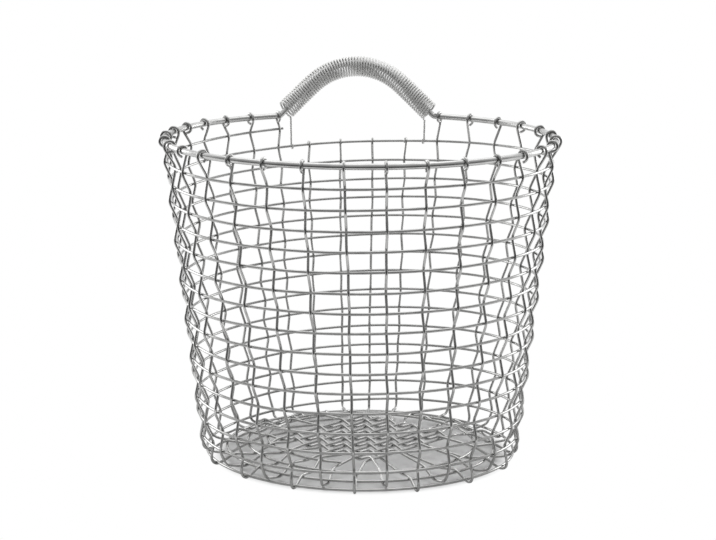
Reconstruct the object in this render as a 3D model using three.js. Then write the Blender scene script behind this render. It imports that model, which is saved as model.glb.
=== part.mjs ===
// A hand-woven steel wire basket with one looped handle, in millimetres, +Z up.
// The origin is on the basket's axis, on the surface it stands on, and the handle is on the +Y side.
// One weft wire winds down the wall and in under the base. The warp wires weave in and out of it,
// hook round the rim at the top, and cross the base as a woven square of straight and zigzag wires.
import * as THREE from "three";

// Rim and handle
const RIM_RADIUS = 157.5; // centre line of the rim wire, seen from above
const RIM_HEIGHT = 262; // centre line of the rim above the standing surface
const RIM_WIRE = 5; // wire diameter
const HANDLE_PLACE = 91.1; // middle of the handle, degrees from +X
const HANDLE_RISE = 41.8; // top of the handle's centre line above the rim's
const HANDLE_BEND = 58.1; // radius of the handle's top
const HANDLE_SLOPE = 41.7; // slope of the handle's straight legs, degrees
const FOOT_BEND = 5; // radius where each leg turns into the rim

// Coil that pads the handle
const COIL_OUTER = 15.6; // outside diameter
const COIL_WIRE = 1.5; // wire diameter
const COIL_LENGTH = 152; // measured along the handle
const COIL_TURNS = 65;

// Basket wall and base
const BASE_RADIUS = 126.5; // where the lines of wall and base meet
const CORNER_RADIUS = 5; // the turn from wall to base
const WARP_COUNT = 33; // odd, so that each warp changes sides at each turn of the weft
const WARP_WIRE = 2; // wire diameter
const FIRST_WARP = 16.6; // place of the first warp, degrees from +X
const WARP_DRIFT = 3.6; // the hand-set warps stand unevenly by this much, degrees
const WIDEST_GAPS = 317; // where the warps are set widest apart, degrees from +X
const WARP_SWAY = 0.9; // a second unevenness that goes twice round, degrees
const SWAY_START = 51; // where that begins, degrees from +X
const WEFT_WIRE = 2; // wire diameter
const WEFT_PITCH = 16.25; // about how far each turn is from the next, along the wall and the base
const WEFT_DROP = 10; // from the rim's centre line to the weft where it begins
const WEFT_TILT = 4; // each turn hangs this much lower on one side, and higher on the other
const LOW_SIDE = 191; // where the turns hang lowest, degrees from +X
const WEFT_PART_TURN = 0.4; // the weft ends this part of a turn past the place where it began
const WEFT_TO_MAT = 0.17 * BASE_RADIUS; // the weft ends this far outside the sides of the woven square
const WEFT_TAIL = 4; // each end of the weft passes its last warp by this much
const WEFT_LENGTHS = 8; // lengths of wire that make up the weft
const MAT_PITCH = 0.11 * BASE_RADIUS; // spacing of the wires woven in the middle of the base
const MAT_ANGLE = 46; // direction of the straight wires there, degrees from +X
const MAT_RISE = 9; // how far the middle of the base is pushed up above its edge
const CROSSING_FLAT = 3; // a wire of the base runs level this far at a crossing
const FOOT_REACH = 40; // warps outside the weft this near the lowest part of the corner are feet, degrees
const BASE_SHIFT = 3; // the hand-made base sits this far to the +X side of the rim's centre
const BASE_TWIST = 1.5; // and is turned this much against the rim, degrees
const SIDE_BULGE = 4.5; // one side of the wall is pushed out this far at its foot
const BULGE_PLACE = 172; // where that is, degrees from +X
const BULGE_POWER = 8; // how quickly it fades to either side

// Fits between wires
const CLEARANCE = 0.3; // between wires that touch
const WEAVE_SLACK = 0.5; // between warp and weft where they cross
const HOOK_TURN = 270; // how far a warp hooks round the rim, degrees
const HOOK_START = 25; // how far below the rim's centre the hook begins, degrees
const CAP_TURN = 210; // how far a wire hooks round the weft, degrees
const STEEP_LEG = 20; // a warp that meets the weft this close below the rim runs level there
const LEAST_STEP = 2; // bends of a wire are no closer together than this

// Facets
const WIRE_SIDES = 4;
const RIM_SIDES = 8;
const RIM_STEPS = 42;
const BEND_STEPS = 8;
const HOOK_STEPS = 5;
const COIL_STEPS = 8; // to each turn

const UP = new THREE.Vector3(0, 0, 1);
const rad = THREE.MathUtils.degToRad;

// Corner radius of a many-sided section that has the area of a round wire.
function reach(diameter, sides) {
  return (diameter / 2) * Math.sqrt((2 * Math.PI) / (sides * Math.sin((2 * Math.PI) / sides)));
}

// Half the thickness of that section across its flats.
function halfFlat(diameter, sides) {
  return reach(diameter, sides) * Math.cos(Math.PI / sides);
}

const WARP_HALF = halfFlat(WARP_WIRE, WIRE_SIDES);
const WEFT_HALF = halfFlat(WEFT_WIRE, WIRE_SIDES);
const WEFT_REACH = reach(WEFT_WIRE, WIRE_SIDES);
const COIL_HALF = halfFlat(COIL_WIRE, WIRE_SIDES);
const CROSSING = WARP_HALF + WEFT_HALF + WEAVE_SLACK; // warp centre to weft centre
const MAT_CROSSING = 2 * WARP_HALF + WEAVE_SLACK; // zigzag wire to straight wire in the base
const BASE_HEIGHT = WARP_HALF + Math.max(CROSSING, MAT_CROSSING); // weft level on the base

// A point at a distance from the axis, at an angle in degrees and a height.
function around(radius, angle, height) {
  return new THREE.Vector3(radius * Math.cos(rad(angle)), radius * Math.sin(rad(angle)), height);
}

// The finished weave isn't quite true: further below the rim it is turned and shifted a little more,
// and one side bulges.
function settled(point) {
  const depth = THREE.MathUtils.clamp(1 - point.z / RIM_HEIGHT, 0, 1);
  const outward = new THREE.Vector3(point.x, point.y, 0);
  const fromAxis = Math.min(outward.length() / BASE_RADIUS, 1);
  const facing = outward.normalize().dot(around(1, BULGE_PLACE, 0));
  const bulge = SIDE_BULGE * depth * fromAxis ** 2 * Math.max(facing, 0) ** BULGE_POWER;
  const turned = point.clone().addScaledVector(outward, bulge);
  turned.applyAxisAngle(UP, rad(BASE_TWIST * depth));
  return turned.add(new THREE.Vector3(BASE_SHIFT * depth, 0, 0));
}

// Carries a many-sided wire section along a path with mitred corners. A flat of the section faces
// the normal given for each point.
function sweep(path, normals, diameter, sides, closed = false) {
  const points = path.map(settled);
  const count = points.length;
  const radius = reach(diameter, sides);
  const positions = [];
  points.forEach((point, i) => {
    const before = points[closed ? (i + count - 1) % count : Math.max(i - 1, 0)];
    const after = points[closed ? (i + 1) % count : Math.min(i + 1, count - 1)];
    const arriving = point.clone().sub(before === point ? after : before);
    arriving.multiplyScalar(before === point ? -1 : 1).normalize();
    const leaving = after === point ? arriving.clone() : after.clone().sub(point).normalize();
    const along = arriving.clone().add(leaving).normalize();
    const bend = leaving.clone().sub(arriving);
    const stretch = 1 / along.dot(arriving) - 1;
    if (bend.lengthSq() > 1e-12) bend.normalize();
    const across = normals[i].clone().addScaledVector(along, -along.dot(normals[i])).normalize();
    const aside = along.clone().cross(across);
    for (let k = 0; k < sides; k++) {
      const turn = ((2 * k + 1) * Math.PI) / sides;
      const corner = across.clone().multiplyScalar(radius * Math.cos(turn));
      corner.addScaledVector(aside, radius * Math.sin(turn));
      corner.addScaledVector(bend, corner.dot(bend) * stretch);
      positions.push(...corner.add(point).toArray());
    }
  });
  const index = [];
  for (let i = 0; i < (closed ? count : count - 1); i++) {
    const ring = i * sides;
    const next = ((i + 1) % count) * sides;
    for (let k = 0; k < sides; k++) {
      const beside = (k + 1) % sides;
      index.push(ring + k, ring + beside, next + k);
      index.push(ring + beside, next + beside, next + k);
    }
  }
  if (!closed) {
    const last = (count - 1) * sides;
    for (let k = 1; k < sides - 1; k++) {
      index.push(0, k + 1, k);
      index.push(last, last + k, last + k + 1);
    }
  }
  const geometry = new THREE.BufferGeometry();
  geometry.setAttribute("position", new THREE.Float32BufferAttribute(positions, 3));
  geometry.setIndex(index);
  geometry.computeVertexNormals();
  return geometry;
}

// The woven surface seen in section: down the leaning wall, round the corner and up a gentle slope
// to the woven square in the middle of the base.
const MAT_WIRES = Math.floor((WARP_COUNT - 1) / 4);
const MAT_HALF = (MAT_PITCH * MAT_WIRES) / 2;
const MAT_HEIGHT = BASE_HEIGHT + MAT_RISE;
const WEFT_END = MAT_HALF + WEFT_TO_MAT; // least distance of the weft from the axis
const BASE_SLOPE = Math.atan2(MAT_RISE, BASE_RADIUS - WEFT_END);
const WALL_LEAN = Math.atan2(RIM_RADIUS - BASE_RADIUS, RIM_HEIGHT - BASE_HEIGHT);
const CORNER_TURN = Math.PI / 2 - WALL_LEAN + BASE_SLOPE;
const CORNER_TANGENT = CORNER_RADIUS * Math.tan((Math.PI / 2 - WALL_LEAN) / 2);
const WALL_LENGTH =
  Math.hypot(RIM_RADIUS - BASE_RADIUS, RIM_HEIGHT - BASE_HEIGHT) - CORNER_TANGENT;
const BASE_START = WALL_LENGTH + CORNER_RADIUS * CORNER_TURN;
const JOIN = BASE_START + CROSSING_FLAT; // where an upright ends and its base wire begins

// Distance from the axis and height of a point that lies `along` the section, counted from the rim,
// and `out` from the woven surface.
function section(along, out) {
  const turned = THREE.MathUtils.clamp((along - WALL_LENGTH) / CORNER_RADIUS, 0, CORNER_TURN);
  const facing = WALL_LEAN + turned;
  const outward = new THREE.Vector2(Math.cos(facing), -Math.sin(facing));
  const centre = new THREE.Vector2(BASE_RADIUS - CORNER_TANGENT, BASE_HEIGHT + CORNER_RADIUS);
  const point = centre.addScaledVector(outward, CORNER_RADIUS + out);
  if (along < WALL_LENGTH) {
    const rise = WALL_LENGTH - along;
    point.add(new THREE.Vector2(rise * Math.sin(WALL_LEAN), rise * Math.cos(WALL_LEAN)));
  }
  const run = Math.max(0, along - BASE_START);
  point.add(new THREE.Vector2(-run * Math.cos(BASE_SLOPE), run * Math.sin(BASE_SLOPE)));
  return { radius: point.x, height: point.y, outward };
}

// Warps stand nearly evenly round the basket.
function warpAngle(warp) {
  const even = FIRST_WARP + (360 * warp) / WARP_COUNT;
  const sway = WARP_SWAY * Math.sin(rad(2 * (even - SWAY_START)));
  return even + WARP_DRIFT * Math.sin(rad(even - WIDEST_GAPS)) + sway;
}

// The handle as a line on the cylinder of the rim: an arc at the top, straight legs and bent feet.
const SLOPE = rad(HANDLE_SLOPE);
const TOP_ARC = HANDLE_BEND * SLOPE;
const LEG_DROP = HANDLE_RISE - (HANDLE_BEND + FOOT_BEND) * (1 - Math.cos(SLOPE));
const LEG = LEG_DROP / Math.sin(SLOPE);
const FOOT_ARC = FOOT_BEND * SLOPE;
const HALF_HANDLE = TOP_ARC + LEG + FOOT_ARC;
const HALF_SPAN = (HANDLE_BEND + FOOT_BEND) * Math.sin(SLOPE) + LEG * Math.cos(SLOPE);
const HANDLE_ANGLE = HALF_SPAN / RIM_RADIUS; // radians from the middle of the handle to its foot
const UNDER_HANDLE = THREE.MathUtils.radToDeg(HANDLE_ANGLE - WARP_WIRE / RIM_RADIUS);

// Point of the handle at a length along it from its middle, with the directions along it, out of
// the basket and square to both, towards the inside of the bend.
function handleAt(length) {
  const way = Math.sign(length) || 1;
  const far = Math.abs(length);
  const top = Math.min(far, TOP_ARC) / HANDLE_BEND;
  const leg = THREE.MathUtils.clamp(far - TOP_ARC, 0, LEG);
  const foot = Math.max(far - TOP_ARC - LEG, 0) / FOOT_BEND;
  let aside = HANDLE_BEND * Math.sin(top) + leg * Math.cos(SLOPE);
  let height = HANDLE_RISE - HANDLE_BEND * (1 - Math.cos(top)) - leg * Math.sin(SLOPE);
  aside += FOOT_BEND * (Math.sin(SLOPE) - Math.sin(SLOPE - foot));
  height -= FOOT_BEND * (Math.cos(SLOPE - foot) - Math.cos(SLOPE));
  const slope = -way * (top - foot);
  const angle = rad(HANDLE_PLACE) - (way * aside) / RIM_RADIUS;
  const outward = new THREE.Vector3(Math.cos(angle), Math.sin(angle), 0);
  const level = new THREE.Vector3(Math.sin(angle), -Math.cos(angle), 0);
  const along = level.multiplyScalar(Math.cos(slope)).addScaledVector(UP, Math.sin(slope));
  const point = outward.clone().multiplyScalar(RIM_RADIUS);
  point.z = RIM_HEIGHT + height;
  return { point, along, outward, across: outward.clone().cross(along) };
}

// One loop of thick wire: round the mouth, and up and over at the back as the handle.
function rimWire() {
  const lengths = [];
  for (let k = 0; k <= BEND_STEPS / 2; k++) {
    lengths.push(-HALF_HANDLE + (FOOT_ARC * 2 * k) / BEND_STEPS);
  }
  lengths.push(-TOP_ARC - LEG / 2);
  for (let k = 0; k <= BEND_STEPS; k++) lengths.push(TOP_ARC * ((2 * k) / BEND_STEPS - 1));
  lengths.push(TOP_ARC + LEG / 2);
  for (let k = 0; k <= BEND_STEPS / 2; k++) {
    lengths.push(TOP_ARC + LEG + (FOOT_ARC * 2 * k) / BEND_STEPS);
  }
  const stations = lengths.map(handleAt);
  const points = stations.map((station) => station.point);
  const normals = stations.map((station) => station.outward);
  const mouth = 2 * Math.PI - 2 * HANDLE_ANGLE;
  for (let k = 1; k < RIM_STEPS; k++) {
    const angle = HANDLE_PLACE - THREE.MathUtils.radToDeg(HANDLE_ANGLE + (mouth * k) / RIM_STEPS);
    points.push(around(RIM_RADIUS, angle, RIM_HEIGHT));
    normals.push(around(1, angle, 0));
  }
  return sweep(points, normals, RIM_WIRE, RIM_SIDES, true);
}

// The weft begins just before the first warp past the handle's foot and winds counter-clockwise.
function firstWarpPastHandle() {
  for (let warp = 0; warp < WARP_COUNT; warp++) {
    if (warpAngle(warp) - HANDLE_PLACE > UNDER_HANDLE) return warp;
  }
  throw new Error("no warp stands past the handle");
}
const START_WARP = firstWarpPastHandle();
const WEFT_START = WEFT_DROP / Math.cos(WALL_LEAN);

// The turns of the weft fill the wall and the base as far as the woven square, evenly spaced.
const BASE_RUN = (section(BASE_START, 0).radius - WEFT_END) / Math.cos(BASE_SLOPE);
const WEFT_ROOM = BASE_START + BASE_RUN - WEFT_START;
const WEFT_TURNS = Math.round(WEFT_ROOM / WEFT_PITCH - WEFT_PART_TURN) + WEFT_PART_TURN;
const TURN_PITCH = WEFT_ROOM / WEFT_TURNS;

// Crossing number `number` of the weft, counted from its upper end: which warp it meets, how far
// the weft has turned in degrees, how far it is along the section, and which side the warp passes.
function weftCrossing(number) {
  const warp = (START_WARP + number) % WARP_COUNT;
  const rounds = Math.floor((START_WARP + number) / WARP_COUNT);
  const turned = warpAngle(warp) + 360 * rounds - warpAngle(START_WARP);
  return { warp, turned, along: weftAlong(turned), side: number % 2 ? 1 : -1 };
}

function weftAlong(turned) {
  const hang = WEFT_TILT * Math.cos(rad(warpAngle(START_WARP) + turned - LOW_SIDE));
  return WEFT_START + (TURN_PITCH * turned) / 360 + hang;
}

const CROSSINGS = [];
for (let number = 0; weftCrossing(number).turned < 360 * WEFT_TURNS; number++) {
  CROSSINGS.push(weftCrossing(number));
}

// A place on the weft, with the direction out of the woven surface.
function weftAt(turned) {
  const angle = warpAngle(START_WARP) + turned;
  const place = section(weftAlong(turned), 0);
  const point = around(place.radius, angle, place.height);
  const outward = around(place.outward.x, angle, place.outward.y);
  return { point, outward, angle, place };
}

// One end of the coil: the point where its wire leaves the underside of the handle.
const COIL_RADIUS = (COIL_OUTER - COIL_WIRE) / 2;
function coilAt(share) {
  const handle = handleAt(COIL_LENGTH * (share - 0.5));
  const phase = 2 * Math.PI * COIL_TURNS * share;
  const outward = handle.across.clone().multiplyScalar(Math.cos(phase));
  outward.addScaledVector(handle.outward, Math.sin(phase));
  return { point: handle.point.addScaledVector(outward, COIL_RADIUS), outward };
}

// How far the weft has turned when it first passes under a point of the handle.
function turnedBelow(point) {
  const angle = THREE.MathUtils.radToDeg(Math.atan2(point.y, point.x));
  return angle + 360 - warpAngle(START_WARP);
}
const LEAD_TURNS = [coilAt(0), coilAt(1)].map((end) => turnedBelow(end.point));

// The weft, cut into lengths that lie end to end.
function weftLength(part) {
  const share = Math.ceil(CROSSINGS.length / WEFT_LENGTHS);
  const mine = CROSSINGS.slice(part * share, (part + 1) * share);
  const next = CROSSINGS[(part + 1) * share];
  const previous = CROSSINGS[part * share - 1];
  const radiusHere = section(mine[0].along, 0).radius;
  const radiusThere = section(mine[mine.length - 1].along, 0).radius;
  const degrees = (length, radius) => THREE.MathUtils.radToDeg(length / radius);
  const start = previous
    ? (previous.turned + mine[0].turned) / 2 + degrees(CLEARANCE / 2, radiusHere)
    : -degrees(WEFT_TAIL, radiusHere);
  const end = next
    ? (next.turned + mine[mine.length - 1].turned) / 2 - degrees(CLEARANCE / 2, radiusThere)
    : mine[mine.length - 1].turned + degrees(WEFT_TAIL, radiusThere);
  const leads = LEAD_TURNS.filter((turned) => turned > start && turned < end);
  const turns = [start, ...mine.map((crossing) => crossing.turned), ...leads, end];
  turns.sort((a, b) => a - b);
  const places = turns.map(weftAt);
  const points = places.map((place) => place.point);
  const normals = places.map((place) => place.outward);
  return sweep(points, normals, WEFT_WIRE, WIRE_SIDES);
}

// Points of a hook round a wire, in section, from one side over the top to the other. The hook's
// straight steps stay `gap` clear of the wire's centre.
function hook(centre, gap, side, start, turn) {
  const step = turn / HOOK_STEPS;
  const radius = gap / Math.cos(rad(step / 2));
  const points = [];
  for (let k = 0; k <= HOOK_STEPS; k++) {
    const angle = rad(start + step * k);
    const reachOut = side * radius * Math.cos(angle);
    points.push(new THREE.Vector2(centre.x + reachOut, centre.y + radius * Math.sin(angle)));
  }
  return points;
}

// The knots of a warp in section: out and in by turns where it crosses the weft. It runs level for a
// short way at crossings on the corner and the base, and where the rim is close above.
function crossingKnots(warp) {
  const knots = [];
  for (const crossing of CROSSINGS.filter((each) => each.warp === warp)) {
    const out = crossing.side * CROSSING;
    const place = section(crossing.along, out);
    const steep = crossing.along < STEEP_LEG || crossing.along > WALL_LENGTH - CORNER_RADIUS;
    const foot = out > 0 && place.outward.y < -Math.cos(rad(FOOT_REACH));
    for (const shift of steep ? [-CROSSING_FLAT / 2, CROSSING_FLAT / 2] : [0]) {
      const point = new THREE.Vector2(place.radius, place.height);
      point.x += shift * place.outward.y;
      point.y = Math.max(point.y - shift * place.outward.x, WARP_HALF);
      if (foot && crossing.along < BASE_START) point.y = WARP_HALF;
      knots.push({ along: crossing.along + shift, out, point });
    }
  }
  return knots;
}

function shareBetween(from, to, along) {
  return (along - from.along) / (to.along - from.along);
}

// Knots that carry the warp round the corner, where none of its crossings is near.
function warpKnots(warp) {
  const knots = crossingKnots(warp);
  for (const share of [0, 0.5, 1]) {
    const along = THREE.MathUtils.lerp(WALL_LENGTH, BASE_START, share);
    const after = knots.findIndex((knot) => knot.along > along);
    const [from, to] = [knots[after - 1], knots[after]];
    if (along - from.along < LEAST_STEP || to.along - along < LEAST_STEP) continue;
    const out = THREE.MathUtils.lerp(from.out, to.out, shareBetween(from, to, along));
    const place = section(along, out);
    const point = new THREE.Vector2(place.radius, Math.max(place.height, WARP_HALF));
    knots.splice(after, 0, { along, out, point });
  }
  return knots;
}

// Each warp wire runs on under the base. It is made as an upright and a base wire, which meet end
// to end on a straight part just inside the corner.
function joinPoint(knots, past) {
  const after = knots.findIndex((knot) => knot.along > JOIN);
  const [from, to] = [knots[after - 1], knots[after]];
  const join = THREE.MathUtils.clamp(JOIN, from.along + LEAST_STEP / 2, to.along - LEAST_STEP / 2);
  const share = shareBetween(from, to, join + (past * CLEARANCE) / 2);
  return { after, point: from.point.clone().lerp(to.point, share) };
}

// The upright of a warp, in section: its hook, its swings down the wall and the turn at the corner.
function uprightSection(warp) {
  const knots = warpKnots(warp);
  const first = CROSSINGS.find((crossing) => crossing.warp === warp);
  const fromHandle = warpAngle(warp) - HANDLE_PLACE;
  const underHandle = Math.cos(rad(fromHandle)) > Math.cos(rad(UNDER_HANDLE));
  const weft = section(first.along, 0);
  const weftGap = WEFT_REACH + CLEARANCE + WARP_HALF;
  const rim = new THREE.Vector2(RIM_RADIUS, RIM_HEIGHT);
  const rimGap = reach(RIM_WIRE, RIM_SIDES) + CLEARANCE + WARP_HALF;
  const top = underHandle
    ? hook(new THREE.Vector2(weft.radius, weft.height), weftGap, first.side, 0, CAP_TURN)
    : hook(rim, rimGap, -first.side, -HOOK_START, HOOK_TURN);
  const join = joinPoint(knots, -1);
  const wall = knots.slice(0, join.after);
  const below = underHandle ? wall.filter((knot) => knot.along > first.along + CROSSING_FLAT) : wall;
  return [...top.reverse(), ...below.map((knot) => knot.point), join.point];
}

function upright(warp) {
  const angle = warpAngle(warp);
  const points = uprightSection(warp).map((point) => around(point.x, angle, point.y));
  const sideways = around(1, angle + 90, 0);
  return sweep(points, points.map(() => sideways), WARP_WIRE, WIRE_SIDES);
}

// The warp's run on the base as far as the innermost turn of the weft.
function spoke(warp) {
  const knots = warpKnots(warp);
  const join = joinPoint(knots, 1);
  const points = [join.point, ...knots.slice(join.after).map((knot) => knot.point)];
  return points.map((point) => around(point.x, warpAngle(warp), point.y));
}

// The middle of the base is a square of wires woven two ways. One set runs straight and level, and
// the other set passes over and under it.
function matOffset(wire) {
  return MAT_PITCH * (wire - (MAT_WIRES - 1) / 2);
}

function matPoint(direction, along, offset, height) {
  const point = around(along, direction, height).add(around(offset, direction + 90, 0));
  return point.sub(around(WEFT_TILT, LOW_SIDE, 0));
}

// A straight wire of the square, with the spokes that it runs out into on two sides.
function straightWire(wire) {
  const middle = [MAT_HALF, -MAT_HALF];
  const points = middle.map((along) => matPoint(MAT_ANGLE, along, matOffset(wire), MAT_HEIGHT));
  const near = spoke(wire);
  const far = spoke(2 * MAT_WIRES + (MAT_WIRES - 1 - wire)).reverse();
  return [...near, ...points, ...far];
}

// A zigzag wire of the square, with its spokes.
function zigzagWire(wire) {
  const points = [];
  for (let crossed = MAT_WIRES - 1; crossed >= 0; crossed--) {
    const over = (wire + crossed) % 2 ? 1 : -1;
    for (const flat of [CROSSING_FLAT / 2, -CROSSING_FLAT / 2]) {
      const along = matOffset(crossed) + flat;
      const height = MAT_HEIGHT + over * MAT_CROSSING;
      points.push(matPoint(MAT_ANGLE - 90, along, matOffset(wire), height));
    }
  }
  const near = spoke(3 * MAT_WIRES + wire);
  const far = spoke(MAT_WIRES + (MAT_WIRES - 1 - wire)).reverse();
  return [...near, ...points, ...far];
}

// A warp that was added for the odd count ends inside the innermost turn of the weft.
function addedWire(warp) {
  const points = spoke(warp);
  const last = points[points.length - 1];
  const inward = around(-CROSSING_FLAT, warpAngle(warp), 0);
  return [...points, last.clone().add(inward)];
}

function baseWire(points) {
  return sweep(points, points.map(() => UP), WARP_WIRE, WIRE_SIDES);
}

// The coil is one wire: a hook round the weft, a straight lead up, the turns, and the same again.
function coilLead(share) {
  const end = coilAt(share);
  const weft = weftAt(turnedBelow(end.point));
  const centre = new THREE.Vector2(weft.place.radius, weft.place.height);
  const hanging = hook(centre, WEFT_REACH + CLEARANCE + COIL_HALF, 1, 0, -CAP_TURN);
  return hanging.map((point) => around(point.x, weft.angle, point.y)).reverse();
}

function coilPath() {
  const turns = [];
  const steps = COIL_TURNS * COIL_STEPS;
  for (let k = 0; k <= steps; k++) turns.push(coilAt(k / steps));
  return turns;
}

// Least gap between one turn of the coil and another, from the points of its path.
function leastCoilGap(points) {
  let least = Infinity;
  const sameTurn = COIL_STEPS / 2;
  points.forEach((point, i) => {
    const others = points.slice(i + sameTurn, i + 2 * COIL_STEPS);
    for (const other of others) least = Math.min(least, point.distanceTo(other));
  });
  return least - COIL_WIRE;
}

function gripCoil() {
  const turns = coilPath();
  const points = turns.map((turn) => turn.point);
  console.log("least gap between turns of the coil: " + leastCoilGap(points).toFixed(2) + " mm");
  const near = coilLead(0);
  const far = coilLead(1).reverse();
  const sideways = (point) => new THREE.Vector3(-point.y, point.x, 0).normalize();
  const normals = [
    ...near.map(sideways),
    ...turns.map((turn) => turn.outward),
    ...far.map(sideways),
  ];
  return sweep([...near, ...points, ...far], normals, COIL_WIRE, WIRE_SIDES);
}

const basket = new THREE.Group();
basket.name = "wire_basket";

function addPiece(name, geometry, colour, roughness) {
  const material = new THREE.MeshStandardMaterial({ color: colour, roughness, metalness: 1 });
  const mesh = new THREE.Mesh(geometry, material);
  mesh.name = name;
  basket.add(mesh);
}

const RIM_STEEL = 0x9a9b9c;
const WEAVE_STEEL = 0x8e9092;
const COIL_STEEL = 0x86888a;
const numbered = (name, number) => name + "_" + String(number + 1).padStart(2, "0");

addPiece("rim_wire", rimWire(), RIM_STEEL, 0.35);
addPiece("grip_coil", gripCoil(), COIL_STEEL, 0.38);
for (let part = 0; part < WEFT_LENGTHS; part++) {
  addPiece(numbered("weft", part), weftLength(part), WEAVE_STEEL, 0.36);
}
for (let warp = 0; warp < WARP_COUNT; warp++) {
  addPiece(numbered("warp", warp), upright(warp), WEAVE_STEEL, 0.36);
}
for (let wire = 0; wire < MAT_WIRES; wire++) {
  addPiece(numbered("base_straight", wire), baseWire(straightWire(wire)), WEAVE_STEEL, 0.36);
  addPiece(numbered("base_zigzag", wire), baseWire(zigzagWire(wire)), WEAVE_STEEL, 0.36);
}
for (let warp = 4 * MAT_WIRES; warp < WARP_COUNT; warp++) {
  const name = numbered("base_added", warp - 4 * MAT_WIRES);
  addPiece(name, baseWire(addedWire(warp)), WEAVE_STEEL, 0.36);
}

export default basket;
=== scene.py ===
import bpy
import numpy as np
from mathutils import Matrix, Vector


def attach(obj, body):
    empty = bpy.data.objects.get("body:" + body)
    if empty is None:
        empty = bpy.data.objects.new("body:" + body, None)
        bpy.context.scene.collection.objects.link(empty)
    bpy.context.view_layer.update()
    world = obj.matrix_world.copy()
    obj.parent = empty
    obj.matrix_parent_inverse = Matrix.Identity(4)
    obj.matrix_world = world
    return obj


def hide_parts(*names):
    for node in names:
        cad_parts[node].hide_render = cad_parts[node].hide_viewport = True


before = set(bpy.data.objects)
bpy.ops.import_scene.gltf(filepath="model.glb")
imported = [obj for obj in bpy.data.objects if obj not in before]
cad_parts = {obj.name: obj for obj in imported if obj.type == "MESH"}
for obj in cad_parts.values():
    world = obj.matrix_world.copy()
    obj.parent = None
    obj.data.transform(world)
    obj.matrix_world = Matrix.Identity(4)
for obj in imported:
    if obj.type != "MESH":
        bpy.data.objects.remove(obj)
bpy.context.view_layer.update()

bl_info = {
    "name": "Woven wire basket",
    "version": (1, 0, 0),
    "blender": (4, 5, 0),
    "location": "View3D > Sidebar > Basket",
    "description": "A round basket woven from steel wire, with a coil-wound handle",
    "category": "Add Mesh",
}

UP = np.array((0.0, 0.0, 1.0))

# How finely wires are drawn: metres between the rings, and the corners of a ring.
WEAVE_STEP = 0.00075
WEAVE_CORNERS = 10
COIL_STEP = 0.0005
COIL_CORNERS = 8
RIM_CORNERS = 24

# How finely paths are worked out before that: metres, an angle, and counts of points.
UPRIGHT_STEP = 0.0005
WEFT_STEP = np.radians(2)
HANDLE_POINTS = 160
MOUTH_POINTS = 320
COIL_TURN_POINTS = 24
STRAIGHT_POINTS = 200
ZIGZAG_POINTS = 400
WEFT_HOOK_POINTS = 24
RIM_HOOK_POINTS = 30
LEAD_HOOK_POINTS = 30
SAME_PLACE = 1e-7

# Hooks, in degrees round the wire that they hold: its sides are at 0 and 180, and its top at 90.
WEFT_HOOK_END = 205
RIM_HOOK_END = 272
RIM_HOOK_END_VARIES = 18
RIM_HOOK_FOOT = -25
LEAD_HOOK_END = -225

# Room in a hook: in metres round the rim, with the part of it by which the hook hangs down, and round
# the weft as a multiple of the gap at a crossing. A warp goes on as a zigzag a little below that hook.
RIM_HOOK_ROOM = 0.0010
RIM_HOOK_ROOM_VARIES = 0.0002
RIM_HOOK_SAG = 0.45
WEFT_HOOK_WIDTH = 1.24
ZIGZAG_BELOW_HOOK = 0.006

# Where uprights stray sideways, in metres: how far below the rim that begins, the height over which it
# sets in, and the height above the floor over which it fades. The waves are radians from rim to floor.
STRAY_BELOW_RIM = 0.012
STRAY_SETS_IN = 0.02
STRAY_FADES = 0.03
UPRIGHT_WAVES = 9
# The weft strays by a part of the wobble, with its own seed and its own waves in a radian of its turn.
WEFT_STRAY = 0.8
WEFT_SEED = 3
WEFT_WAVES = 1.7

# An outer bend is a foot where the weave faces the floor within this angle of straight down.
FOOT_FACING = np.radians(40)
# The power of the cosine that shapes the bulge in one side of the wall.
BULGE_POWER = 8
# A quarter of the length over which a warp's sideways direction turns into that of its run across the
# base, and of the length over which the coil's wire bends into its leads, in metres.
SIDE_BLEND = 0.006
LEAD_BEND = 0.0006
# How far the added warp passes its last crossing, in metres.
ADDED_TAIL = 0.004
# A cut end's bevel as parts of the wire's diameter: its length, and its width at the tip.
BEVEL_LENGTH = 0.12
BEVEL_WIDTH = 0.78

# Drawn steel: metres of a dull patch and of a die line, die lines round a wire, their part in the
# look, how far the roughness varies either way, and the lines' depth as a part of the diameter.
PATCH_LENGTH = 0.012
LINE_LENGTH = 0.025
LINES_ROUND = 14.0
LINE_PART = 0.45
POLISH_VARIES = 0.06
LINE_DEPTH = 0.01

# The paper in metres: how far it reaches, where it turns up as a wall, and how high that is.
PAPER_REACH = 8
WALL_PLACE = 3
WALL_HEIGHT = 6
# Where the looks of the stage change, each between two places in metres: the front of the white sheet
# in Y, and the distance from the base's middle at which it turns white to the camera and in metal.
SHEET_EDGE = (-0.42, -0.32)
WHITE_TO_CAMERA = (0.110, 0.126)
WHITE_IN_METAL = (0.16, 0.30)
# The room turns white in metal between these values of a direction's Y.
WHITE_BEHIND = (0.0, 0.5)

# Softboxes: name, width in metres, place, target and power in watts.
SOFTBOXES = (
    ("overhead_softbox", 1.2, (0.0, 0.4, 1.2), (0, 0.1, 0), 4.0),
    ("left_softbox", 0.8, (-1.2, 0.95, 0.45), (0, 0.05, 0.15), 4.5),
    ("right_softbox", 0.8, (1.2, 0.95, 0.45), (0, 0.05, 0.15), 4.5),
)

# The photograph's camera: its place in metres, tilt and roll in radians, focal length and picture
# width in the photograph's pixels, and a sensor width in millimetres.
CAMERA_PLACE = (-0.00123, -1.8045, 0.5069)
CAMERA_TILT = 0.1934
CAMERA_ROLL = 0.0037
FOCAL_LENGTH = 2251.3
PHOTO_WIDTH = 716
SENSOR_WIDTH = 36


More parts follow.
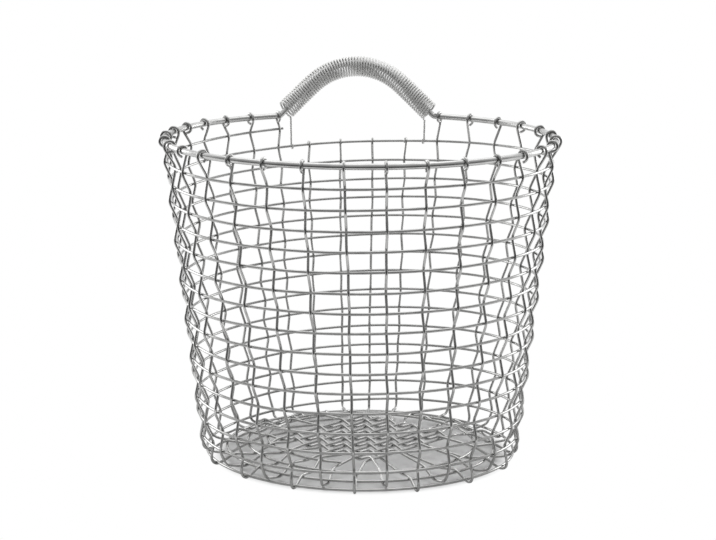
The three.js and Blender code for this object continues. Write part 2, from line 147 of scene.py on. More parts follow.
class BasketSizes(bpy.types.PropertyGroup):
    """Sizes of the basket's wires and of the shape that they are woven to"""

    rim_radius: bpy.props.FloatProperty(
        name="Rim radius", description="Axis to the rim wire's centre line",
        default=0.1575, unit="LENGTH")
    rim_height: bpy.props.FloatProperty(
        name="Rim height", description="Floor to the rim wire's centre line",
        default=0.262, unit="LENGTH")
    rim_wire: bpy.props.FloatProperty(
        name="Rim wire", description="Diameter of the rim wire", default=0.005, unit="LENGTH")
    handle_place: bpy.props.FloatProperty(
        name="Handle place", description="Where the middle of the handle is round the axis",
        default=np.radians(91.1), subtype="ANGLE")
    handle_rise: bpy.props.FloatProperty(
        name="Handle rise", description="Rim to the top of the handle, at the centre lines",
        default=0.0418, unit="LENGTH")
    handle_bend: bpy.props.FloatProperty(
        name="Handle bend", description="Radius of the handle's top", default=0.0581, unit="LENGTH")
    handle_slope: bpy.props.FloatProperty(
        name="Handle slope", description="Slope of the handle's straight legs",
        default=np.radians(41.7), subtype="ANGLE")
    foot_bend: bpy.props.FloatProperty(
        name="Foot bend", description="Radius where a leg of the handle turns into the rim",
        default=0.005, unit="LENGTH")
    handle_crown: bpy.props.FloatProperty(
        name="Handle crown", description="How far the handle's wire is bowed up inside its coil",
        default=0.0032, unit="LENGTH")
    coil_outer: bpy.props.FloatProperty(
        name="Coil", description="Outside diameter of the coil on the handle",
        default=0.0180, unit="LENGTH")
    coil_wire: bpy.props.FloatProperty(
        name="Coil wire", description="Diameter of the coil's wire", default=0.0017, unit="LENGTH")
    coil_length: bpy.props.FloatProperty(
        name="Coil length", description="How far the coil runs along the handle",
        default=0.1535, unit="LENGTH")
    coil_shift: bpy.props.FloatProperty(
        name="Coil shift", description="How far the coil has slid to the +X side of the handle",
        default=0.00125, unit="LENGTH")
    coil_lean: bpy.props.FloatProperty(
        name="Coil lean", description="Steepness of the coil's turns, as a part of the handle's slope",
        default=0.8)
    coil_turns: bpy.props.IntProperty(
        name="Coil turns", description="Turns of the coil", default=65)
    base_radius: bpy.props.FloatProperty(
        name="Base radius", description="Axis to where the lines of wall and base meet",
        default=0.1265, unit="LENGTH")
    corner_radius: bpy.props.FloatProperty(
        name="Corner", description="Radius of the turn from wall to base",
        default=0.005, unit="LENGTH")
    weave_wire: bpy.props.FloatProperty(
        name="Weave wire", description="Diameter of warp and weft", default=0.0022, unit="LENGTH")
    warp_count: bpy.props.IntProperty(
        name="Warps", description="Upright wires round the wall", default=33)
    first_warp: bpy.props.FloatProperty(
        name="First warp", description="Place of the first warp round the axis",
        default=np.radians(16.6), subtype="ANGLE")
    warp_drift: bpy.props.FloatProperty(
        name="Warp drift", description="How unevenly the warps stand, once round the basket",
        default=np.radians(3.6), subtype="ANGLE")
    widest_gaps: bpy.props.FloatProperty(
        name="Widest gaps", description="Where the warps stand widest apart",
        default=np.radians(317), subtype="ANGLE")
    warp_sway: bpy.props.FloatProperty(
        name="Warp sway", description="How unevenly the warps stand, twice round the basket",
        default=np.radians(0.9), subtype="ANGLE")
    sway_start: bpy.props.FloatProperty(
        name="Sway start", description="Where that second unevenness begins",
        default=np.radians(51), subtype="ANGLE")
    weft_pitch: bpy.props.FloatProperty(
        name="Weft pitch", description="About how far each turn of the weft is from the next",
        default=0.01625, unit="LENGTH")
    weft_part_turn: bpy.props.FloatProperty(
        name="Weft part turn", description="Part of a turn by which the weft passes where it began",
        default=0.4)
    weft_drop: bpy.props.FloatProperty(
        name="Weft drop", description="Rim to the upper end of the weft",
        default=0.010, unit="LENGTH")
    weft_tilt: bpy.props.FloatProperty(
        name="Weft tilt", description="How much lower each turn hangs on one side",
        default=0.004, unit="LENGTH")
    low_side: bpy.props.FloatProperty(
        name="Low side", description="Where the turns hang lowest",
        default=np.radians(191), subtype="ANGLE")
    weft_to_mat: bpy.props.FloatProperty(
        name="Weft to mat", description="Inner end of the weft to the side of the woven square",
        default=0.0215, unit="LENGTH")
    weft_tail: bpy.props.FloatProperty(
        name="Weft tail", description="How far the weft passes its last warp",
        default=0.004, unit="LENGTH")
    mat_pitch: bpy.props.FloatProperty(
        name="Mat pitch", description="Spacing of the wires woven in the middle of the base",
        default=0.013915, unit="LENGTH")
    mat_angle: bpy.props.FloatProperty(
        name="Mat angle", description="Direction of the straight wires in the base",
        default=np.radians(46), subtype="ANGLE")
    mat_rise: bpy.props.FloatProperty(
        name="Mat rise", description="How far the middle of the base is pushed up above its edge",
        default=0.009, unit="LENGTH")
    base_shift: bpy.props.FloatProperty(
        name="Base shift", description="How far the base sits to the +X side of the rim's centre",
        default=0.003, unit="LENGTH")
    base_twist: bpy.props.FloatProperty(
        name="Base twist", description="How much the base is turned against the rim",
        default=np.radians(1.5), subtype="ANGLE")
    side_bulge: bpy.props.FloatProperty(
        name="Side bulge", description="How far one side of the wall is pushed out at its foot",
        default=0.0045, unit="LENGTH")
    bulge_place: bpy.props.FloatProperty(
        name="Bulge place", description="Where that bulge is",
        default=np.radians(172), subtype="ANGLE")
    slack: bpy.props.FloatProperty(
        name="Slack", description="Air between wires where they cross",
        default=0.0001, unit="LENGTH")
    bend: bpy.props.FloatProperty(
        name="Bend", description="A quarter of the length over which a woven wire takes a bend",
        default=0.002, unit="LENGTH")
    wobble: bpy.props.FloatProperty(
        name="Wobble", description="How far the hand-laid wires stray", default=0.0006,
        unit="LENGTH")


class BasketFinish(bpy.types.PropertyGroup):
    """Colours and polish of the wires, and colours of the stage"""

    weave_light: bpy.props.StringProperty(
        name="Weave, bright", description="sRGB of clean weave wire", default="#C8C8C7")
    weave_dark: bpy.props.StringProperty(
        name="Weave, dull", description="sRGB of dulled weave wire", default="#9F9F9E")
    rim_light: bpy.props.StringProperty(
        name="Rim, bright", description="sRGB of clean rim wire", default="#D4D4D3")
    rim_dark: bpy.props.StringProperty(
        name="Rim, dull", description="sRGB of dulled rim wire", default="#B6B6B5")
    coil_light: bpy.props.StringProperty(
        name="Coil, bright", description="sRGB of clean coil wire", default="#EAEAE9")
    coil_dark: bpy.props.StringProperty(
        name="Coil, dull", description="sRGB of dulled coil wire", default="#DADAD9")
    weave_roughness: bpy.props.FloatProperty(
        name="Weave roughness", description="Roughness of the weave wire", default=0.14,
        min=0, max=1, subtype="FACTOR")
    rim_roughness: bpy.props.FloatProperty(
        name="Rim roughness", description="Roughness of the rim wire", default=0.24,
        min=0, max=1, subtype="FACTOR")
    coil_roughness: bpy.props.FloatProperty(
        name="Coil roughness", description="Roughness of the coil's wire", default=0.64,
        min=0, max=1, subtype="FACTOR")
    # Painted shade: the floor on the camera's side is coloured dark grey so that metal mirrors shade
    # there.
    floor: bpy.props.StringProperty(
        name="Floor", description="sRGB of the shaded floor on the camera's side", default="#707070")
    # The camera sees the paper only under the basket. There it keeps the real shadow, and its slightly
    # grey colour adds painted shade.
    paper: bpy.props.StringProperty(
        name="Paper", description="sRGB of the paper that the basket stands on", default="#EEEEEE")
    room: bpy.props.StringProperty(
        name="Room", description="sRGB of the room round the stage", default="#707070")
    ceiling: bpy.props.StringProperty(
        name="Ceiling", description="sRGB of the room's ceiling", default="#E6E6E6")


def linear(hex_text):
    """sRGB hex to linear RGBA: small values over 12.92, and the others by a power of 2.4."""
    srgb = np.array([int(hex_text[k:k + 2], 16) for k in (1, 3, 5)]) / 255
    return (*np.where(srgb <= 0.04045, srgb / 12.92, ((srgb + 0.055) / 1.055) ** 2.4), 1.0)


def unit(vectors):
    """Each row over its length."""
    return vectors / np.linalg.norm(vectors, axis=-1, keepdims=True)


def around(radius, angle, height):
    """Points at a distance from the axis, an angle round it and a height."""
    return np.stack(np.broadcast_arrays(
        radius * np.cos(angle), radius * np.sin(angle), height), axis=-1).astype(float)


def crossing_gap(sizes):
    """Centre line to centre line of two weave wires where they cross: a diameter and the slack."""
    return sizes.weave_wire + sizes.slack


def zigzag_swing(sizes, pitch):
    """How far a zigzag's corners stand off its middle line, so that they still clear the wires that
    they cross once they are rounded. A leg's slope is twice the swing over the pitch, and rounding
    lowers a corner by that slope times two thirds of the bend."""
    return crossing_gap(sizes) / (1 - 4 * sizes.bend / (3 * pitch))


def base_height(sizes):
    """The weft's level on the base, at which a wire that passes under it lies on the floor."""
    return sizes.weave_wire / 2 + crossing_gap(sizes)


def lean(sizes):
    """Angle of the wall from upright."""
    return np.arctan2(sizes.rim_radius - sizes.base_radius, sizes.rim_height - base_height(sizes))


def wall_length(sizes):
    """Slant length of the wall from the rim to the start of the corner's arc."""
    tangent = sizes.corner_radius * np.tan((np.pi / 2 - lean(sizes)) / 2)
    slant = np.hypot(sizes.rim_radius - sizes.base_radius, sizes.rim_height - base_height(sizes))
    return slant - tangent


def mat_wires(sizes):
    """How many wires each way make the woven square of the base."""
    return (sizes.warp_count - 1) // 4


def mat_half(sizes):
    """Half the width of the woven square."""
    return sizes.mat_pitch * mat_wires(sizes) / 2


def base_slope(sizes):
    """How steeply the base rises from its edge to the inner end of the weft."""
    return np.arctan2(sizes.mat_rise, sizes.base_radius - mat_half(sizes) - sizes.weft_to_mat)


def corner_turn(sizes):
    """How far the woven surface turns from wall to base."""
    return np.pi / 2 - lean(sizes) + base_slope(sizes)


def section(sizes, along, out):
    """The woven surface in section. `along` runs from the rim down the leaning wall, round the
    corner's arc and in up the base's gentle slope; `out` is measured square to it. The facing angle
    turns from the wall's to the base's over the arc. Gives distance from the axis, height and
    facing."""
    wall, slope = wall_length(sizes), base_slope(sizes)
    facing = lean(sizes) + np.clip((along - wall) / sizes.corner_radius, 0, corner_turn(sizes))
    rise = np.maximum(wall - along, 0)
    run = np.maximum(along - wall - sizes.corner_radius * corner_turn(sizes), 0)
    inset = sizes.base_radius - sizes.corner_radius * np.tan((np.pi / 2 - lean(sizes)) / 2)
    reach = sizes.corner_radius + out
    radius = inset + reach * np.cos(facing) + rise * np.sin(lean(sizes)) - run * np.cos(slope)
    height = (base_height(sizes) + sizes.corner_radius - reach * np.sin(facing)
              + rise * np.cos(lean(sizes)) + run * np.sin(slope))
    return radius, height, facing


def settled(sizes, points):
    """The finished weave isn't quite true. With depth below the rim, none there and all at the
    floor, points turn about the axis by the base's twist, move by its shift, and on one side bulge
    outward by a high power of the cosine, and less by the square of the distance nearer the axis."""
    depth = np.clip(1 - points[:, 2] / sizes.rim_height, 0, 1)
    radius, angle = np.hypot(points[:, 0], points[:, 1]), np.arctan2(points[:, 1], points[:, 0])
    side = np.maximum(np.cos(angle - sizes.bulge_place), 0) ** BULGE_POWER
    bulge = sizes.side_bulge * depth * side * np.minimum(radius / sizes.base_radius, 1) ** 2
    shift = np.outer(sizes.base_shift * depth, (1, 0, 0))
    return around(radius + bulge, angle + sizes.base_twist * depth, points[:, 2]) + shift


def warp_angles(sizes):
    """Even spacing round the axis, plus one sine that goes once round and one that goes twice."""
    even = sizes.first_warp + 2 * np.pi * np.arange(sizes.warp_count) / sizes.warp_count
    once = sizes.warp_drift * np.sin(even - sizes.widest_gaps)
    twice = sizes.warp_sway * np.sin(2 * (even - sizes.sway_start))
    return even + once + twice


def handle_lengths(sizes):
    """Lengths of the handle's parts from its middle: top arc, straight leg, foot arc, and the half
    span of its feet along the rim."""
    bends = sizes.handle_bend + sizes.foot_bend
    drop = sizes.handle_rise - bends * (1 - np.cos(sizes.handle_slope))
    leg = drop / np.sin(sizes.handle_slope)
    span = bends * np.sin(sizes.handle_slope) + leg * np.cos(sizes.handle_slope)
    return sizes.handle_bend * sizes.handle_slope, leg, sizes.foot_bend * sizes.handle_slope, span


def handle_line(sizes, length):
    """The handle as a line on the rim's cylinder, by length from its middle: an arc down to the
    slope, a straight leg, and an arc back to level. Gives points and the outward direction."""
    top_arc, leg_length, _, _ = handle_lengths(sizes)
    far = np.abs(length)
    top = np.minimum(far, top_arc) / sizes.handle_bend
    leg = np.clip(far - top_arc, 0, leg_length)
    foot = np.maximum(far - top_arc - leg_length, 0) / sizes.foot_bend
    slope = sizes.handle_slope
    aside = sizes.handle_bend * np.sin(top) + leg * np.cos(slope)
    aside = aside + sizes.foot_bend * (np.sin(slope) - np.sin(slope - foot))
    height = sizes.handle_rise - sizes.handle_bend * (1 - np.cos(top)) - leg * np.sin(slope)
    height = height - sizes.foot_bend * (np.cos(slope - foot) - np.cos(slope))
    angle = sizes.handle_place - np.sign(length) * aside / sizes.rim_radius
    return around(sizes.rim_radius, angle, sizes.rim_height + height), around(1, angle, 0)


def under_handle(sizes):
    """Half the angle round the axis in which warps find no rim, because it rises as the handle."""
    return (handle_lengths(sizes)[3] - sizes.weave_wire) / sizes.rim_radius


def weft_start(sizes):
    """The warp at which the weft begins, the first past the handle's foot, and its angle."""
    angles = warp_angles(sizes)
    first = int(np.argmax(angles - sizes.handle_place > under_handle(sizes)))
    return first, angles[first]


def weft_turns(sizes):
    """How many turns the weft makes, and the pitch at which they evenly fill the wall and the base
    as far as its inner end."""
    corner = wall_length(sizes) + sizes.corner_radius * corner_turn(sizes)
    run = section(sizes, corner, 0)[0] - mat_half(sizes) - sizes.weft_to_mat
    room = corner + run / np.cos(base_slope(sizes)) - sizes.weft_drop / np.cos(lean(sizes))
    turns = round(room / sizes.weft_pitch - sizes.weft_part_turn) + sizes.weft_part_turn
    return turns, room / turns


def stray(place, seed):
    """A slow, smooth wander between about -1 and 1: three sines of unlike wavelengths."""
    return (0.5 * np.sin(place + 2.4 * seed) + 0.3 * np.sin(2.3 * place + 4.1 * seed)
            + 0.2 * np.sin(4.9 * place + 1.7 * seed))


def weft_along(sizes, turned):
    """The weft goes down by one pitch in each turn, hangs lower on one side of the basket by a
    cosine, and strays a little once past its start."""
    hang = sizes.weft_tilt * np.cos(weft_start(sizes)[1] + turned - sizes.low_side)
    wander = WEFT_STRAY * sizes.wobble * stray(WEFT_WAVES * turned, WEFT_SEED) * np.clip(turned, 0, 1)
    down = sizes.weft_drop / np.cos(lean(sizes)) + weft_turns(sizes)[1] * turned / (2 * np.pi)
    return down + hang + wander


def weft_crossings(sizes):
    """Every crossing of weft and warp in the order that the weft makes them: the warp, how far the
    weft has turned since the first, how far along the section it is, and the warp's side, which
    changes at each crossing."""
    angles = warp_angles(sizes)
    first, start = weft_start(sizes)
    turns = weft_turns(sizes)[0]
    number = np.arange(int(turns * sizes.warp_count) + 2)
    warp = (first + number) % sizes.warp_count
    rounds = (first + number) // sizes.warp_count
    turned = angles[warp] + 2 * np.pi * rounds - start
    keep = turned < 2 * np.pi * turns
    side = np.where(number % 2, 1.0, -1.0)
    return warp[keep], turned[keep], weft_along(sizes, turned[keep]), side[keep]


def resample(points, sides, step):
    """The same polyline with points at even steps of length, and its side directions with it."""
    length = np.r_[0, np.cumsum(np.linalg.norm(np.diff(points, axis=0), axis=1))]
    keep = np.r_[True, np.diff(length) > SAME_PLACE]
    length, points, sides = length[keep], points[keep], sides[keep]
    even = np.linspace(0, length[-1], int(length[-1] / step) + 1)
    columns = np.hstack((points, sides)).T
    both = np.stack([np.interp(even, length, column) for column in columns], axis=-1)
    return both[:, :3], unit(both[:, 3:])


def rounded(points, half_width, step):
    """Bends a polyline's corners: each point becomes the mean of its neighbours within the half
    width, twice over. The ends are mirrored through their end points, so they stay in place."""
    reach = max(int(round(half_width / step)), 1)
    for _ in range(2):
        before = 2 * points[0] - points[reach:0:-1]
        after = 2 * points[-1] - points[-2:-reach - 2:-1]
        sums = np.cumsum(np.vstack((np.zeros(3), before, points, after)), axis=0)
        width = 2 * reach + 1
        points = (sums[width:] - sums[:-width]) / width
    return points


def wire(sizes, name, points, sides, diameter, corners, closed=False):
    """A round wire: a circle carried along a path. At each point the circle stands square to the
    path's direction, turned to the side direction given there. Cut ends are closed with a small
    bevel. The UV map runs along the wire in metres and once round it."""
    points = settled(sizes, points)
    if closed:
        along = np.roll(points, -1, 0) - np.roll(points, 1, 0)
    else:
        direction = unit(points[[1, -1]] - points[[0, -2]])
        tips = points[[0, -1]] + direction * np.array([[-1.0], [1.0]]) * diameter * BEVEL_LENGTH
        points = np.vstack((tips[:1], points, tips[1:]))
        sides = np.vstack((sides[:1], sides, sides[-1:]))
        along = np.gradient(points, axis=0)
    radii = np.full(len(points), diameter / 2)
    if not closed:
        radii[[0, -1]] *= BEVEL_WIDTH
    along = unit(along)
    across = unit(sides - along * np.sum(sides * along, axis=1, keepdims=True))
    third = np.cross(along, across)
    turn = 2 * np.pi * np.arange(corners) / corners
    circle = (np.cos(turn)[:, None] * across[:, None] + np.sin(turn)[:, None] * third[:, None])
    vertices = (points[:, None] + radii[:, None, None] * circle).reshape(-1, 3)

    rings = len(points)
    ring, corner = np.meshgrid(np.arange(rings if closed else rings - 1), np.arange(corners),
                               indexing="ij")
    beside, ahead = (corner + 1) % corners, (ring + 1) % rings
    quads = np.stack((ring * corners + corner, ring * corners + beside,
                      ahead * corners + beside, ahead * corners + corner), -1).reshape(-1, 4)
    faces = quads.tolist()
    if not closed:
        faces.append(list(range(corners))[::-1])
        faces.append(list(range((rings - 1) * corners, rings * corners)))
    mesh = bpy.data.meshes.new(name)
    mesh.from_pydata(vertices.tolist(), [], faces)

    gaps = np.linalg.norm(np.diff(points, axis=0, append=points[:1]), axis=1)
    length = np.r_[0, np.cumsum(gaps)]
    u = np.stack((length[ring], length[ring], length[ring + 1], length[ring + 1]), -1)
    v = np.stack((corner, corner + 1, corner + 1, corner), -1) / corners
    uv = np.stack((u, v), -1).reshape(-1, 2)
    caps = np.zeros((0 if closed else 2 * corners, 2))
    layer = mesh.uv_layers.new(name="wire")
    layer.data.foreach_set("uv", np.vstack((uv, caps)).astype(np.float32).ravel())
    smooth = np.ones(len(mesh.polygons), bool)
    smooth[len(quads):] = False
    mesh.polygons.foreach_set("use_smooth", smooth)
    mesh.update()
    piece = bpy.data.objects.new(name, mesh)
    bpy.context.scene.collection.objects.link(piece)
    return piece


def put(piece, material, nodes):
    """Gives a piece its material and slot, and puts it in the place of its CAD nodes."""
    piece.data.materials.append(material)
    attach(piece, "root")
    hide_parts(*nodes)


def hook(centre_radius, centre_height, radius, side, angles):
    """An arc in section round a wire: distance from the axis and height at each angle, which counts
    from `side` of the wire up over its top."""
    return (centre_radius + side * radius * np.cos(angles),
            centre_height + radius * np.sin(angles))


def upright(sizes, warp):
    """One warp from its hook down the wall, round the corner and in along the base to its innermost
    crossing. It is a zigzag: straight legs from one side of the weft to the other, raised a little
    so that the rounded bends still clear the weft. A hook round the rim, or round the weft under the
    handle, comes first. Outer bends at the bottom of the corner come down to the floor, as feet.
    Gives points and sideways directions."""
    warps, _, along, side = weft_crossings(sizes)
    along, side = along[warps == warp], side[warps == warp]
    angle = warp_angles(sizes)[warp]
    swing = side * zigzag_swing(sizes, sizes.weft_pitch)
    _, low, facing = section(sizes, along, swing)
    is_foot = (side > 0) & (np.sin(facing) > np.cos(FOOT_FACING)) & (facing <= np.pi / 2)
    drop = np.where(is_foot, np.maximum(low - sizes.weave_wire / 2, 0), 0)
    fine = np.arange(along[0], along[-1], UPRIGHT_STEP)
    radius, height, _ = section(sizes, fine, np.interp(fine, along, swing))
    height = np.maximum(height - np.interp(fine, along, drop), sizes.weave_wire / 2)
    if np.cos(angle - sizes.handle_place) > np.cos(under_handle(sizes)):
        weft_radius, weft_height, _ = section(sizes, along[0], 0)
        turn = np.radians(np.linspace(WEFT_HOOK_END, 0, WEFT_HOOK_POINTS))
        top = hook(weft_radius, weft_height, crossing_gap(sizes) * WEFT_HOOK_WIDTH, side[0], turn)
        down = fine > along[0] + ZIGZAG_BELOW_HOOK
        radius, height = radius[down], height[down]
    else:
        # Two sines that jump from warp to warp make each hook a little unlike the next.
        loose = RIM_HOOK_ROOM + RIM_HOOK_ROOM_VARIES * np.sin(2.7 * warp)
        end = RIM_HOOK_END + RIM_HOOK_END_VARIES * np.sin(1.9 * warp + 0.6)
        ring = (sizes.rim_wire + sizes.weave_wire) / 2 + loose
        turn = np.radians(np.linspace(end, RIM_HOOK_FOOT, RIM_HOOK_POINTS))
        top = hook(sizes.rim_radius, sizes.rim_height - RIM_HOOK_SAG * loose, ring, -side[0], turn)
    radius, height = np.r_[top[0], radius], np.r_[top[1], height]
    lower = np.clip((sizes.rim_height - height) / sizes.rim_height, 0, 1)
    ease = np.clip((sizes.rim_height - STRAY_BELOW_RIM - height) / STRAY_SETS_IN, 0, 1)
    ease = ease * np.clip(height / STRAY_FADES, 0, 1)
    aside = sizes.wobble * ease * stray(UPRIGHT_WAVES * lower, warp)
    points = around(radius, angle, height) + aside[:, None] * around(1, angle + np.pi / 2, 0)
    heading = -around(1, angle, 0)
    sides = np.broadcast_to(np.cross(UP, heading), points.shape)
    return points, sides


def mat_run(sizes, direction, offset, stations, heights):
    """A line across the square at an offset from its middle, from its far side to its near side.
    The middle is as far off the axis as the weft's turns are by their tilt."""
    ahead = around(1, direction, 0)
    aside = around(1, direction + np.pi / 2, 0)
    middle = offset * aside - around(sizes.weft_tilt, sizes.low_side, 0)
    points = stations[:, None] * ahead + middle + heights[:, None] * UP
    sides = np.broadcast_to(np.cross(UP, -ahead), points.shape)
    return points, sides


def woven_wire(sizes, name, points, sides):
    """A weave wire along a polyline, with its bends rounded and its sideways direction blended."""
    points, sides = resample(points, sides, WEAVE_STEP)
    points = rounded(points, sizes.bend, WEAVE_STEP)
    sides = unit(rounded(sides, SIDE_BLEND, WEAVE_STEP))
    return wire(sizes, name, points, sides, sizes.weave_wire, WEAVE_CORNERS)


def through_wire(sizes, name, near, middle, far):
    """Joins a warp, its run across the square and the warp that it goes up as into one smooth
    wire."""
    far_points, far_sides = upright(sizes, far)
    near_points, near_sides = upright(sizes, near)
    points = np.vstack((near_points, middle[0], far_points[::-1]))
    sides = np.vstack((near_sides, middle[1], -far_sides[::-1]))
    return woven_wire(sizes, name, points, sides)


def numbered(name, index):
    """A name with its number, which counts from 01."""
    return f"{name}_{index + 1:02d}"


def add(tree, kind, settings=None, **inputs):
    """Adds a node, sets its properties, and sets or links its inputs by name (or _number)."""
    node = tree.nodes.new(kind)
    for key, value in (settings or {}).items():
        setattr(node, key, value)
    for key, value in inputs.items():
        place = int(key[1:]) if key[1:].isdigit() else key.replace("_", " ")
        socket = node.inputs[place]
        if isinstance(value, bpy.types.NodeSocket):
            tree.links.new(value, socket)
        else:
            socket.default_value = value
    return node


def drawn_steel(name, light, dark, roughness, diameter):
    """Bright drawn steel wire. Pulling it through a die leaves fine lines along it, and use leaves it
    duller in patches, so its shine varies along the wire and breaks up round it."""
    if name in bpy.data.materials:
        return bpy.data.materials[name]
    material = bpy.data.materials.new(name)
    material.use_nodes = True
    tree = material.node_tree
    tree.nodes.clear()
    place = add(tree, "ShaderNodeTexCoord")
    # Dull patches: one noise cell in a patch's length.
    patches = add(tree, "ShaderNodeTexNoise", Vector=place.outputs["Object"],
                  Scale=1 / PATCH_LENGTH, Detail=3.0, Roughness=0.55)
    # Die lines: a long, thin noise cell for each, coarser than real so that they show.
    stretch = add(tree, "ShaderNodeMapping", Vector=place.outputs["UV"],
                  Scale=(1 / LINE_LENGTH, LINES_ROUND, 1.0))
    lines = add(tree, "ShaderNodeTexNoise", Vector=stretch.outputs["Vector"],
                Scale=1.0, Detail=4.0, Roughness=0.6)
    fine = add(tree, "ShaderNodeMath", {"operation": "MULTIPLY"},
               _0=lines.outputs[0], _1=LINE_PART)
    mixed = add(tree, "ShaderNodeMath", {"operation": "MULTIPLY_ADD"},
                _0=patches.outputs[0], _1=1 - LINE_PART, _2=fine.outputs[0])
    colour = add(tree, "ShaderNodeValToRGB", Fac=mixed.outputs[0])
    colour.color_ramp.elements[0].position = 0.32
    colour.color_ramp.elements[0].color = linear(dark)
    colour.color_ramp.elements[1].position = 0.68
    colour.color_ramp.elements[1].color = linear(light)
    shine = add(tree, "ShaderNodeMapRange", Value=mixed.outputs[0], From_Min=0.3, From_Max=0.7,
                To_Min=roughness + POLISH_VARIES, To_Max=roughness - POLISH_VARIES)
    relief = add(tree, "ShaderNodeBump", Strength=0.25, Distance=diameter * LINE_DEPTH,
                 Height=lines.outputs[0])
    shader = add(tree, "ShaderNodeBsdfPrincipled", Base_Color=colour.outputs[0], Metallic=1.0,
                 Roughness=shine.outputs[0], Normal=relief.outputs[0])
    add(tree, "ShaderNodeOutputMaterial", Surface=shader.outputs[0])
    return material


def weave_steel(context):
    """The steel of warp and weft: the smoothest of the wires, with sharp highlights and dark edges."""
    finish = context.scene.basket_finish
    return drawn_steel("weave_wire_drawn_steel", finish.weave_light, finish.weave_dark,
                       finish.weave_roughness, context.scene.basket_sizes.weave_wire)


class BASKET_OT_rim(bpy.types.Operator):
    """Make the rim wire, which rises at the back as the handle"""

    bl_idname = "basket.rim"
    bl_label = "Rim and handle wire"

    def execute(self, context):
        sizes, finish = context.scene.basket_sizes, context.scene.basket_finish
        top_arc, leg, foot_arc, span = handle_lengths(sizes)
        half = top_arc + leg + foot_arc
        length = np.linspace(-half, half, HANDLE_POINTS)
        points, sides = handle_line(sizes, length)
        # Inside its coil the wire bows up by a squared cosine of the length from the middle.
        points = points + np.outer(sizes.handle_crown * np.cos(np.pi / 2 * length / half) ** 2, UP)
        foot = span / sizes.rim_radius
        mouth = np.linspace(foot, 2 * np.pi - foot, MOUTH_POINTS)[1:-1]
        angle = sizes.handle_place - mouth
        points = np.vstack((points, around(sizes.rim_radius, angle, sizes.rim_height)))
        sides = np.vstack((sides, around(1, angle, 0)))
        # The rim's thicker wire is a little paler and softer than the weave.
        steel = drawn_steel("rim_wire_drawn_steel", finish.rim_light, finish.rim_dark,
                            finish.rim_roughness, sizes.rim_wire)
        piece = wire(sizes, "rim_and_handle", points, sides, sizes.rim_wire, RIM_CORNERS, closed=True)
        put(piece, steel, ["rim_wire"])
        return {"FINISHED"}


class BASKET_OT_grip(bpy.types.Operator):
    """Wind the coil that pads the handle, with a lead at each end hooked round the weft"""

    bl_idname = "basket.grip"
    bl_label = "Handle coil"

    def execute(self, context):
        sizes, finish = context.scene.basket_sizes, context.scene.basket_finish
        # A helix: a circle round the handle's line, gone round once for each turn of the coil. The
        # circle stands square to a line a little less steep than the handle.
        share = np.linspace(0, 1, sizes.coil_turns * COIL_TURN_POINTS + 1)
        line, outward = handle_line(sizes, sizes.coil_length * (share - 0.5) + sizes.coil_shift)
        ahead = unit(np.gradient(line, axis=0) * (1, 1, sizes.coil_lean))
        under = np.cross(outward, ahead)
        phase = 2 * np.pi * sizes.coil_turns * share
        round_handle = np.cos(phase)[:, None] * under + np.sin(phase)[:, None] * outward
        coil_radius = (sizes.coil_outer - sizes.coil_wire) / 2
        turns = line + coil_radius * round_handle
        near, near_sides = self.lead(sizes, turns[0])
        far, far_sides = self.lead(sizes, turns[-1])
        points = np.vstack((near, turns, far[::-1]))
        sides = np.vstack((near_sides, round_handle, far_sides[::-1]))
        points, sides = resample(points, sides, COIL_STEP)
        points = rounded(points, LEAD_BEND, COIL_STEP)
        # The coil's wire is pale and dull, so its turns shade softly and show no sharp highlights.
        steel = drawn_steel("coil_wire_drawn_steel", finish.coil_light, finish.coil_dark,
                            finish.coil_roughness, sizes.coil_wire)
        piece = wire(sizes, "grip_coil_wire", points, sides, sizes.coil_wire, COIL_CORNERS)
        put(piece, steel, ["grip_coil"])
        return {"FINISHED"}

    def lead(self, sizes, end):
        """A straight lead from the coil's end down to a hook round the weft below it."""
        angle = np.arctan2(end[1], end[0])
        turned = angle + 2 * np.pi - weft_start(sizes)[1]
        radius, height, _ = section(sizes, weft_along(sizes, turned), 0)
        gap = (sizes.weave_wire + sizes.coil_wire) / 2 + sizes.slack
        turn = np.radians(np.linspace(LEAD_HOOK_END, 0, LEAD_HOOK_POINTS))
        arc = hook(radius, height, gap, 1, turn)
        points = around(arc[0], angle, arc[1])
        return points, np.broadcast_to(around(1, angle + np.pi / 2, 0), points.shape)


class BASKET_OT_weft(bpy.types.Operator):
    """Wind the weft down the wall and in under the base"""

    bl_idname = "basket.weft"
    bl_label = "Weft"

    def execute(self, context):
        sizes = context.scene.basket_sizes
        _, turned, along, _ = weft_crossings(sizes)
        start = weft_start(sizes)[1]
        inner_radius = section(sizes, along[-1], 0)[0]
        first = -sizes.weft_tail / sizes.rim_radius
        last = turned[-1] + sizes.weft_tail / inner_radius
        # A helix on the woven surface, which becomes a spiral where that turns in under the base.
        turns = np.arange(first, last, WEFT_STEP)
        radius, height, facing = section(sizes, weft_along(sizes, turns), 0)
        points = around(radius, start + turns, height)
        sides = around(np.cos(facing), start + turns, -np.sin(facing))
        piece = wire(sizes, "weft_wire", points, sides, sizes.weave_wire, WEAVE_CORNERS)
        nodes = [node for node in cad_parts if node.startswith("weft")]
        put(piece, weave_steel(context), nodes)
        return {"FINISHED"}


class BASKET_OT_straight_wires(bpy.types.Operator):
    """Lay the warps that run straight and level across the base"""

    bl_idname = "basket.straight_wires"
    bl_label = "Straight base wires and their warps"

    def execute(self, context):
        sizes = context.scene.basket_sizes
        wires = mat_wires(sizes)
        for k in range(wires):
            offset = sizes.mat_pitch * (k - (wires - 1) / 2)
            stations = np.linspace(mat_half(sizes), -mat_half(sizes), STRAIGHT_POINTS)
            level = np.full(STRAIGHT_POINTS, base_height(sizes) + sizes.mat_rise)
            middle = mat_run(sizes, sizes.mat_angle, offset, stations, level)
            near, far = k, 3 * wires - 1 - k
            piece = through_wire(sizes, numbered("straight_wire", k), near, middle, far)
            put(piece, weave_steel(context), [
                numbered("warp", near), numbered("base_straight", k), numbered("warp", far)])
        return {"FINISHED"}


